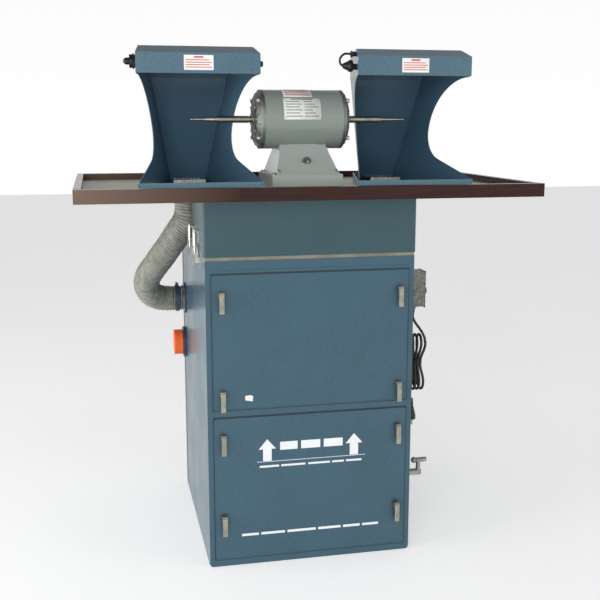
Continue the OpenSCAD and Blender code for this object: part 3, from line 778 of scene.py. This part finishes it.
def make_bags(m):
    """Hanging cloth bags with soft folds and a rounded foot."""
    sides, rows = 56, 30
    top, drop, foot = 432, 300, 0.86
    for index, (x, y) in enumerate([(-130, -90), (-130, 45), (130, -90), (130, 45)]):
        bm = bmesh.new()
        rings = []
        for r in range(rows + 1):
            s = r / rows
            z = top - drop * s
            if s < foot:
                base = 56 + 3.5 * math.sin(math.pi * s)
            else:
                base = 59 * math.sqrt(max(0.02, 1 - ((s - foot) / 0.145) ** 2))
            ring = []
            for k in range(sides):
                a = 2 * math.pi * k / sides
                fold = math.sin(7 * a + index) * math.sin(math.pi * min(1, s * 1.1)) * 1.8
                fold += math.sin(13 * a + 2 * s * 3 + index) * 0.7 * s
                radius = base + fold - 1.5
                ring.append(bm.verts.new((
                    (x + radius * math.cos(a)) * MM, (y + radius * math.sin(a)) * MM, z * MM,
                )))
            rings.append(ring)
        skin(bm, rings)
        bm.faces.new(rings[-1])
        bag = paint(add_mesh("bag_%d" % (index + 1), bm, smooth=80), m["cloth"])
        thick = bag.modifiers.new("thickness", "SOLIDIFY")
        thick.thickness = 1.2 * MM
        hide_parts("filter_bags")


# ---------- front graphics and labels ----------

def on_door(u, v, w):
    """Places an outline's (across, up, out) on the plane of the doors."""
    return Vector((u, w, v))


def make_graphics(m):
    """Two arrows and plain bars on the lower door, and a torn sticker on the upper one."""
    proud, sunk = 0.25, 0.2
    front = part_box("lower_door")[0].y / MM
    bm = bmesh.new()
    for x in (-124.5, 120.5):
        arrow = [
            (x - 12, 298), (x + 12, 298), (x + 12, 332), (x + 24, 332),
            (x, 360), (x - 24, 332), (x - 12, 332),
        ]
        prism(bm, arrow, front - proud, front + sunk, on_door)
    rows = (
        (327, 350, ((-89, -40), (-30, 24), (34, 88))),
        (295.4, 296.8, ((-153, 153),)),
        (279.5, 285, ((-146, -92), (-86, -18), (-10, 52), (58, 92), (98, 143))),
        (84.5, 91.5, ((-197, -150), (-143, -76), (-69, 12), (19, 84), (91, 140), (147, 194))),
    )
    for bottom, top, bars in rows:
        for low, high in bars:
            block(bm, (low, front - proud, bottom), (high, front + sunk, top))
    paint(add_mesh("door_print", bm), m["paint"])
    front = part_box("upper_door")[0].y / MM
    sticker = [(-184, 474), (-164, 470), (-162, 484), (-170, 488), (-184, 486)]
    bm = bmesh.new()
    prism(bm, sticker, front - proud, front + sunk, on_door)
    paint(add_mesh("door_sticker", bm), m["label"])


def make_canopy_labels(m):
    """Blank label with ruled lines on each fascia."""
    for side, name in SIDES:
        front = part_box("hood_canopy_" + name)[0].y / MM
        x = HOOD_X * side
        bm = bmesh.new()
        block(bm, (x - 37.5, front - 0.3, 1339), (x + 37.5, front + 0.2, 1376))
        paint(add_mesh("fascia_label_" + name, bm), m["label"])
        bm = bmesh.new()
        block(bm, (x - 12, front - 0.5, 1369), (x + 12, front, 1373))
        for k in range(4):
            z = 1345 + 6 * k
            block(bm, (x - 33, front - 0.5, z), (x + 33 - 6 * (k % 2), front, z + 2))
        paint(add_mesh("fascia_label_lines_" + name, bm), m["red_ink"])


# ---------- hood details ----------

WALL_FRONT_Y = -272
WALL_FOOT_Z = 1057
PAN_FLOOR_Z = 1037
WAIST_Z = 1182


def wall_edge():
    """Front edge of the hood's side walls, as (y, z) in mm, from the pan up to the canopy."""
    edge = [(WALL_FRONT_Y + 3.5, 1038.0), (WALL_FRONT_Y + 3.5, 1057.0)]
    edge += [(WALL_FRONT_Y + 39.35 * i, WALL_FOOT_Z + 12.125 * i) for i in range(1, 5)]
    for i in range(1, 6):
        a = math.radians(-73 + 14.6 * i)
        edge.append((-138 + 80 * math.cos(a), WAIST_Z + 80 * math.sin(a)))
    for i in range(1, 10):
        a = math.radians(10 * i)
        edge.append((-241 + 183 * math.cos(a), WAIST_Z + 149 * math.sin(a)))
    return edge


def wall_back(z):
    """Y of the hood's back wall at height z, in mm."""
    return 104 - 97 * (z - 1040) / 300


def wall_half(y, z):
    """Half the width between the hood's side walls at (y, z), in mm."""
    f = (z - WALL_FOOT_Z) / 274
    front, wide = WALL_FRONT_Y + 22 * f, 159 - 0.5 * f
    back, narrow = wall_back(z), 53 + 57 * (z - 1040) / 300
    return wide + (narrow - wide) * (y - front) / (back - front)


def weld_radius(i, k):
    """Radius of the uneven weld bead, in mm."""
    return 1.9 + 0.4 * math.sin(i * 1.9) * math.cos(k)


def pan_half(y):
    """Half the width of the hood's base pan at y, in mm."""
    return 162 + (70 - 162) * (y + 272) / 386


def make_hood_details(m):
    """Rolled front edges, corner welds, pan screws and fascia rivets."""
    for side, name in SIDES:
        x0 = HOOD_X * side
        bm = bmesh.new()
        for s in (-1, 1):
            edge = [(x0 + s * (wall_half(y, z) - 1), y, z) for y, z in wall_edge()]
            sweep(bm, smooth_route(edge, 3), lambda i, k: 1.7, 8, (1, 0.2, 0))
        paint(add_mesh("hood_edge_" + name, bm, smooth=60), m["hood"])
        bm = bmesh.new()
        for s in (-1, 1):
            seam = []
            for k in range(60):
                z = 1039 + (1329 - 1039) * k / 59
                back = wall_back(z)
                seam.append(Vector((x0 + s * (wall_half(back, z) - 3), back - 3, z)))
            sweep(bm, seam, weld_radius, 8, (1, 0, 0))
        paint(add_mesh("hood_weld_" + name, bm, smooth=60), m["hood"])
        bm = bmesh.new()
        for x in (-150, -50, 50, 150):
            head(bm, "pan", (x0 + x, -264, PAN_FLOOR_Z), (0, 0, 1), 20)
        for s in (-1, 1):
            for y in (-150, -20):
                head(bm, "pan", (x0 + (pan_half(y) - 8) * s, y, PAN_FLOOR_Z), (0, 0, 1), 20)
        paint(add_mesh("pan_screws_" + name, bm), m["zinc"])
        bm = bmesh.new()
        for x in (-135, 135):
            for z in (1341, 1372):
                head(bm, "fascia", (x0 + x, -250, z), (0, -1, 0), 20)
        paint(add_mesh("fascia_rivets_" + name, bm), m["canopy"])


def make_lamp_fittings(m):
    """Cone of the right hood's lamp connector, lock nuts and cap nuts on the glands."""
    cone = [(0, 15), (3, 16), (9, 15.5), (11, 12.5), (20, 9), (22, 7.5), (25, 7), (26, 4)]
    bm = bmesh.new()
    turned(bm, cone, (128, LAMP_Y, 1357), (-1, 0, 0), 40)
    turned(bm, [(0, 7.4), (5, 7.4), (6, 6)], (-120, LAMP_Y, 1359), (1, 0, 0), 32)
    turned(bm, [(0, 19.5), (3.5, 19.5), (4, 18)], (-447, LAMP_Y, 1362), (-1, 0, 0), 8)
    paint(add_mesh("lamp_connectors", bm, smooth=40), m["black"])
    bm = bmesh.new()
    hexagon(bm, (-128.2, LAMP_Y, 1359), (1, 0, 0), 20, 4)
    hexagon(bm, (129, LAMP_Y, 1388), (-1, 0, 0), 15, 5)
    paint(add_mesh("gland_nuts", bm), m["black"])


# ---------- motor details ----------

def around_motor(x, radius, a):
    """The point at x, at a radius and angle a in radians from the motor's axis, in mm."""
    return (x, MOTOR_Y + radius * math.cos(a), MOTOR_Z + radius * math.sin(a))


def shell_patch(bm, x0, x1, a0, a1, radius, steps=16):
    """Adds a thin curved plate on the motor shell between two X and two angles above the front."""
    rows = []
    for i in range(steps + 1):
        a = math.radians(a0 + (a1 - a0) * i / steps)
        y, z = MOTOR_Y - radius * math.cos(a), MOTOR_Z + radius * math.sin(a)
        rows.append([bm.verts.new(Vector((x, y, z)) * MM) for x in (x0, x1)])
    for a, b in zip(rows, rows[1:]):
        bm.faces.new([a[0], a[1], b[1], b[0]])


def plate_piece(name, bm, material, thickness):
    """A thin curved plate, given thickness outwards."""
    piece = paint(add_mesh(name, bm, smooth=60), material)
    solid = piece.modifiers.new("thickness", "SOLIDIFY")
    solid.thickness = thickness * MM
    solid.offset = 0
    return piece


def make_motor_labels(m):
    """Name plate with its pins and a smaller label, both with plain lines, on the motor shell."""
    bm = bmesh.new()
    shell_patch(bm, -58, 43, -1, 45, SHELL_RADIUS)
    plate_piece("name_plate", bm, m["plate"], 0.6)
    bm = bmesh.new()
    for k in range(6):
        a = 5 + 6 * k
        shell_patch(bm, -52, -8 - 6 * (k % 2), a, a + 1.6, 79.9, steps=2)
        shell_patch(bm, -2, 36 - 8 * (k % 3), a, a + 1.6, 79.9, steps=2)
    shell_patch(bm, -38, 22, 40, 42.5, 79.9, steps=2)
    plate_piece("name_plate_lines", bm, m["grey_ink"], 0.15)
    bm = bmesh.new()
    shell_patch(bm, -55, 24, 48, 92, SHELL_RADIUS)
    plate_piece("shell_label", bm, m["label"], 0.4)
    bm = bmesh.new()
    for k in range(5):
        shell_patch(bm, -49, 18 - 10 * (k % 2), 53 + 7 * k, 55 + 7 * k, 79.8, steps=2)
    plate_piece("shell_label_lines", bm, m["red_ink"], 0.15)
    bm = bmesh.new()
    for x in (-54.5, 39.5):
        for degrees in (3, 41):
            a = math.radians(degrees)
            y, z = MOTOR_Y - 79.6 * math.cos(a), MOTOR_Z + 79.6 * math.sin(a)
            head(bm, "plate", (x, y, z), (0, -math.cos(a), math.sin(a)), 16)
    paint(add_mesh("name_plate_pins", bm), m["zinc"])


def add_ribs(bm, side, count, height):
    """Adds an end bell's radial ribs."""
    hub = Vector((side * BELL_X, MOTOR_Y, MOTOR_Z))
    outline = [(20, 0), (56, 0), (72, -8.5), (72, -5.5), (57, height), (20, height)]
    for k in range(count):
        a = 2 * math.pi * (k + 0.5) / count
        radial = Vector((0, math.cos(a), math.sin(a)))
        across = Vector((0, -math.sin(a), math.cos(a)))

        def on_bell(u, v, w):
            """Places (out from the hub, along the axis, across the rib)."""
            return hub + radial * u + Vector((side * v, 0, 0)) + across * w

        prism(bm, outline, -1.8, 1.8, on_bell)


def make_bell_details(m):
    """Through-bolt nuts, bearing covers, the bells' lips and ribs, and the left bell's studs."""
    cover = [(0, 12.5), (1.5, 13.5), (3, 13.5), (4.5, 12), (4.5, 9.4), (0, 9.4)]
    lip = [(0, 79.2), (0.4, 79.4), (1.4, 79.4), (1.8, 79.2)]
    for side, name in SIDES:
        out = (side, 0, 0)
        bm = bmesh.new()
        for k in range(4):
            hexagon(bm, around_motor(side * 120.5, 70, math.radians(45 + 90 * k)), out, 10, 7)
        paint(add_mesh("bolt_nuts_" + name, bm), m["zinc"])
        bm = bmesh.new()
        turned(bm, cover, (side * BELL_X, MOTOR_Y, MOTOR_Z), out, 48)
        turned(bm, lip, (side * 112.5, MOTOR_Y, MOTOR_Z), out, 72)
        paint(add_mesh("bearing_cover_" + name, bm), m["bell"])
        bm = bmesh.new()
        if side < 0:
            add_ribs(bm, side, 16, 2.2)
            for k in range(8):
                head(bm, "bell", around_motor(-126.5, 44, 2 * math.pi * k / 8), (-1, 0, 0), 14)
        else:
            add_ribs(bm, side, 8, 1.0)
        paint(add_mesh("bell_ribs_" + name, bm, smooth=40), m["bell"])


def make_base_details(m):
    """The motor base's sloping front plate with its bolts, and the switch's lock nut."""
    slope = 70 / 81

    def on_base(u, v, w):
        """Places (across, up, out) on the base's sloping front."""
        return Vector((u, -231 + (v - 1071) * slope - w, v))

    def shoulder(x, start):
        """A rounded upper corner of the plate, from the angle start in degrees."""
        angles = [math.radians(start + 90 * k / 6) for k in range(7)]
        return [(x + 14 * math.cos(a), 1135 + 14 * math.sin(a)) for a in angles]

    outline = [(-86, 1071.5), (86, 1071.5), *shoulder(52, 0)]
    outline += [(40, 1149), (40, 1152), (-40, 1152), (-40, 1149), *shoulder(-52, 90)]
    bm = bmesh.new()
    prism(bm, outline, 0, 2.4, on_base)
    plate = paint(add_mesh("base_front_plate", bm), m["base"])
    bevel(plate, 0.8)
    bm = bmesh.new()
    out = Vector((0, -1, slope)).normalized()
    for x in (-78, 78):
        hexagon(bm, on_base(x, 1080, 2.4), out, 9, 4.5)
    paint(add_mesh("base_bolts", bm), m["zinc"])

    washer = [(0, 5.6), (0, 12), (1.2, 12), (1.6, 11), (1.6, 5.6)]
    inner, outer = 5.6, 9.6
    bm = bmesh.new()
    turned(bm, washer, (SWITCH_X, -204.6, SWITCH_Z), (0, -1, 0), 36)
    for k in range(6):
        a = 2 * math.pi * k / 6
        b = 2 * math.pi * (k + 1) / 6
        flat = [
            (inner * math.cos(a), inner * math.sin(a)), (outer * math.cos(a), outer * math.sin(a)),
            (outer * math.cos(b), outer * math.sin(b)), (inner * math.cos(b), inner * math.sin(b)),
        ]
        prism(bm, flat, 206.2, 208.8, lambda u, v, w: Vector((SWITCH_X + u, -w, SWITCH_Z + v)))
    paint(add_mesh("switch_nut", bm), m["bushing"])


def make_threads(m):
    """Screw thread on both tapers, right hand on the right and left hand on the left."""
    pitch, first, last, steps = 2.6, 231, 296, 18
    turns = int((last - first) / pitch)
    for side, name in SIDES:
        line = []
        for k in range(turns * steps + 1):
            along = first + pitch * k / steps
            radius = 6.8 - 3.8 * (along - 229) / 68
            line.append(Vector(around_motor(side * along, radius, 2 * math.pi * k / steps)))
        bm = bmesh.new()
        sweep(bm, line, lambda i, k: 0.42, 5, (1, 0, 0))
        paint(add_mesh("taper_thread_" + name, bm, body="rotor_body", smooth=60), m["spindle"])


def make_foot_bolts(m):
    """Bolts and washers that hold the motor base to the table."""
    bm = bmesh.new()
    for side in (-1, 1):
        for y in (-205, -37):
            hexagon(bm, (side * 88, y, 1071.8), (0, 0, 1), 10, 5)
            turned(bm, [(0, 8), (1, 8), (1, 5), (0, 5)], (side * 88, y, 1071.6), (0, 0, 1), 24)
    paint(add_mesh("foot_bolts", bm), m["zinc"])


# ---------- cabinet, table and duct details ----------

def make_door_trims(m):
    """A dark strip in the gap round each door, which is a painted shadow line, and a rolled bead
    on the door's edge.
    """
    for name in ("upper_door", "lower_door"):
        low, high = (Vector(v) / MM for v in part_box(name))
        front = low.y
        # dark: a strip that paints the shadow in the gap round the door
        dark = bmesh.new()
        bead = bmesh.new()
        corners = [(low.x, low.z), (high.x, low.z), (high.x, high.z), (low.x, high.z)]
        for k in range(4):
            (x0, z0), (x1, z1) = corners[k], corners[(k + 1) % 4]
            out = Vector((z1 - z0, 0, x0 - x1)).normalized()
            # The painted shadow strip is wider along the top, where more shadow falls.
            wide = 3.4 if z0 == z1 == high.z else 2.0
            for bm, inner, outer, lift in ((dark, 0.0, wide, 0.6), (bead, -2.6, -0.4, -0.7)):
                a = Vector((x0, 0, z0)) + out * inner
                b = Vector((x1, 0, z1)) + out * outer
                low_x, high_x = sorted((a.x, b.x))
                low_z, high_z = sorted((a.z, b.z))
                block(bm, (low_x, front + lift, low_z), (high_x, front + lift + 1.6, high_z))
        paint(add_mesh(name + "_gap_shadow_strip", dark), m["gap_shadow"])
        rim = paint(add_mesh(name + "_bead", bead), m["cabinet"])
        bevel(rim, 0.6)


def make_cabinet_details(m):
    """Screws and seams of the cabinet's sides and back."""
    bm = bmesh.new()
    for side in (-1, 1):
        x, out = side * CABINET_SIDE_X, (side, 0, 0)
        for y in (-70, -36):
            head(bm, "rack", (x, y, 160), out, 20)
        for z in range(60, 841, 130):
            head(bm, "seam", (x, 366, z), out, 16)
    for x in range(-250, 251, 100):
        for z in (14, 839):
            head(bm, "back", (x, 378, z), (0, 1, 0), 18)
    for x in (33, 131):
        for z in (296, 384):
            head(bm, "grille", (x, 380, z), (0, 1, 0), 16)
    paint(add_mesh("cabinet_screws", bm), m["zinc"])

    bm = bmesh.new()
    for side in (-1, 1):
        x = side * CABINET_SIDE_X
        block(bm, (x - 0.9, 348, 4), (x + 0.9, 350.5, 850))
    block(bm, (-284, 377.6, 428), (284, 378.9, 431))
    paint(add_mesh("cabinet_seams", bm), m["cabinet"])


def make_box_details(m):
    """Cover screws and knockouts of the junction box."""
    bm = bmesh.new()
    for y, z in ((GLAND_Y, 793), (GLAND_Y, 708), (-190, 793), (-228, 708)):
        head(bm, "box", (336, y, z), (1, 0, 0), 20)
    paint(add_mesh("box_screws", bm), m["zinc"])
    knockout = [(0, 8.6), (0.4, 8.6), (0.7, 8.2), (0.5, 7.6), (0.5, 0)]
    bm = bmesh.new()
    for z in (730, 770):
        turned(bm, knockout, (GLAND_X, -236, z), (0, -1, 0), 32)
        block(bm, (GLAND_X - 1, -236.9, z - 9.2), (GLAND_X + 1, -236.2, z - 7.6))
    paint(add_mesh("box_knockouts", bm), m["spangle"])


def make_clamp_details(m):
    """Raised edges and tightening screws of the hose clamps, and bolts of the ports' flanges."""

    def clamp_edge(width, centre, axis):
        """One of a clamp band's two raised edges."""
        ring = [(0, 43.1), (0, 42.6), (width, 42.6), (width, 43.1)]
        turned(bm, ring, centre, axis, 64)

    bm = bmesh.new()
    for side in (-1, 1):
        out = (side, 0, 0)
        for x in (306, 316):
            clamp_edge(2, (side * x, PORT_Y, PORT_Z), out)
        hexagon(bm, (side * 312, 320, 698), (0, 1, 0), 8, 6)
        for k in range(4):
            a = math.radians(45 + 90 * k)
            y, z = PORT_Y + 45.5 * math.cos(a), PORT_Z + 45.5 * math.sin(a)
            hexagon(bm, (side * 291, y, z), out, 6, 3)
        x = side * COLLAR_X
        for z in (1001.5, 1009):
            clamp_edge(1.6, (x, COLLAR_Y, z), (0, 0, 1))
        turned(bm, [(0, 3.6), (1, 4.4), (15, 4.4), (16, 3.6)], (x - 8, 11.5, 1006), (1, 0, 0), 20)
    paint(add_mesh("clamp_details", bm), m["zinc"])


def make_table_details(m):
    """Mitre joints, underside battens and screws."""
    corner_x, corner_y, diagonal = 609.3, 380.8, 0.7071
    joint = [(-0.25, 0), (0.25, 0), (0.25, 26.6), (-0.25, 26.6)]
    bm = bmesh.new()
    for sx in (-1, 1):
        for sy in (-1, 1):
            def on_corner(u, v, w):
                """Places (across the joint, along it, up) at a corner of the rim."""
                x = sx * (corner_x - (v + u) * diagonal)
                return Vector((x, sy * (corner_y - (v - u) * diagonal), w))

            prism(bm, joint, 1049.9, 1050.0, on_corner)
    paint(add_mesh("rim_mitres", bm), m["dark"])

    bottom, top, half, batten_y = 1003, 1015, 14, 190
    bm = bmesh.new()
    for y in (-batten_y, batten_y):
        for side in (-1, 1):
            low, high = sorted((side * 302, side * 560))
            block(bm, (low, y - half, bottom), (high, y + half, top))
    for x in (-500, 500):
        block(bm, (x - half, half - batten_y, bottom), (x + half, batten_y - half, top))
    battens = paint(add_mesh("table_battens", bm), m["laminate"])
    bevel(battens, 1.5)
    bm = bmesh.new()
    for x in (-540, -440, -340, 340, 440, 540):
        for y in (-batten_y, batten_y):
            head(bm, "batten", (x, y, bottom), (0, 0, -1), 18)
    paint(add_mesh("batten_screws", bm), m["zinc"])


# ---------- stage ----------

def make_stage():
    """Pale floor, pale surroundings and soft light."""
    bm = bmesh.new()
    bmesh.ops.create_grid(bm, x_segments=8, y_segments=8, size=14)
    mesh = bpy.data.meshes.new("floor")
    bm.to_mesh(mesh)
    bm.free()
    floor = bpy.data.objects.new("floor", mesh)
    bpy.context.scene.collection.objects.link(floor)
    material, tree, shader = new_material("floor_paint")
    tree.links.new(
        ramp(tree, noise(tree, coords(tree), 1.5, 3), [(0.3, (0.84,) * 3), (0.7, (0.87,) * 3)]),
        shader.inputs["Base Color"],
    )
    shader.inputs["Roughness"].default_value = 0.9
    shader.inputs["Emission Color"].default_value = (1, 1, 1, 1)
    shader.inputs["Emission Strength"].default_value = 0.42
    mesh.materials.append(material)
    world = bpy.data.worlds.new("studio")
    bpy.context.scene.world = world
    world.use_nodes = True
    sky = world.node_tree
    place = sky.nodes.new("ShaderNodeTexCoord")
    height = sky.nodes.new("ShaderNodeSeparateXYZ")
    sky.links.new(place.outputs["Generated"], height.inputs["Vector"])
    greys = ((0.0, 1.0), (0.22, 0.95), (0.75, 0.16))
    shades = ramp(sky, height.outputs["Z"], [(position, (grey,) * 3) for position, grey in greys])
    sky.links.new(shades, sky.nodes["Background"].inputs["Color"])
    sky.nodes["Background"].inputs["Strength"].default_value = 1.0
    bpy.context.scene.view_settings.view_transform = "Standard"

    def lamp(name, place, target, size, power):
        """A soft rectangular lamp aimed at target."""
        data = bpy.data.lights.new(name, "AREA")
        data.shape = "RECTANGLE"
        data.size = size[0]
        data.size_y = size[1]
        data.energy = power
        light = bpy.data.objects.new(name, data)
        bpy.context.scene.collection.objects.link(light)
        light.location = place
        aim = Vector(target) - Vector(place)
        light.rotation_euler = aim.to_track_quat("-Z", "Y").to_euler()

    lamp("key", (-1.9, -4.0, 1.6), (0, 0, 0.9), (1.8, 1.8), 50)
    lamp("left", (-3.6, -0.6, 1.0), (0, 0, 0.8), (3.0, 2.0), 64)
    lamp("right", (3.0, -2.4, 1.6), (0, 0, 0.9), (1.6, 1.6), 16)


# ---------- main ----------

make_camera()
materials = make_materials()
dress_nodes(materials)
make_cord(materials)
make_hose(-1, materials)
make_hose(1, materials)
make_bags(materials)
make_graphics(materials)
make_canopy_labels(materials)
make_hood_details(materials)
make_lamp_fittings(materials)
make_motor_labels(materials)
make_bell_details(materials)
make_base_details(materials)
make_threads(materials)
make_foot_bolts(materials)
make_cabinet_details(materials)
make_box_details(materials)
make_clamp_details(materials)
make_door_trims(materials)
make_table_details(materials)
make_stage()

bpy.context.view_layer.update()
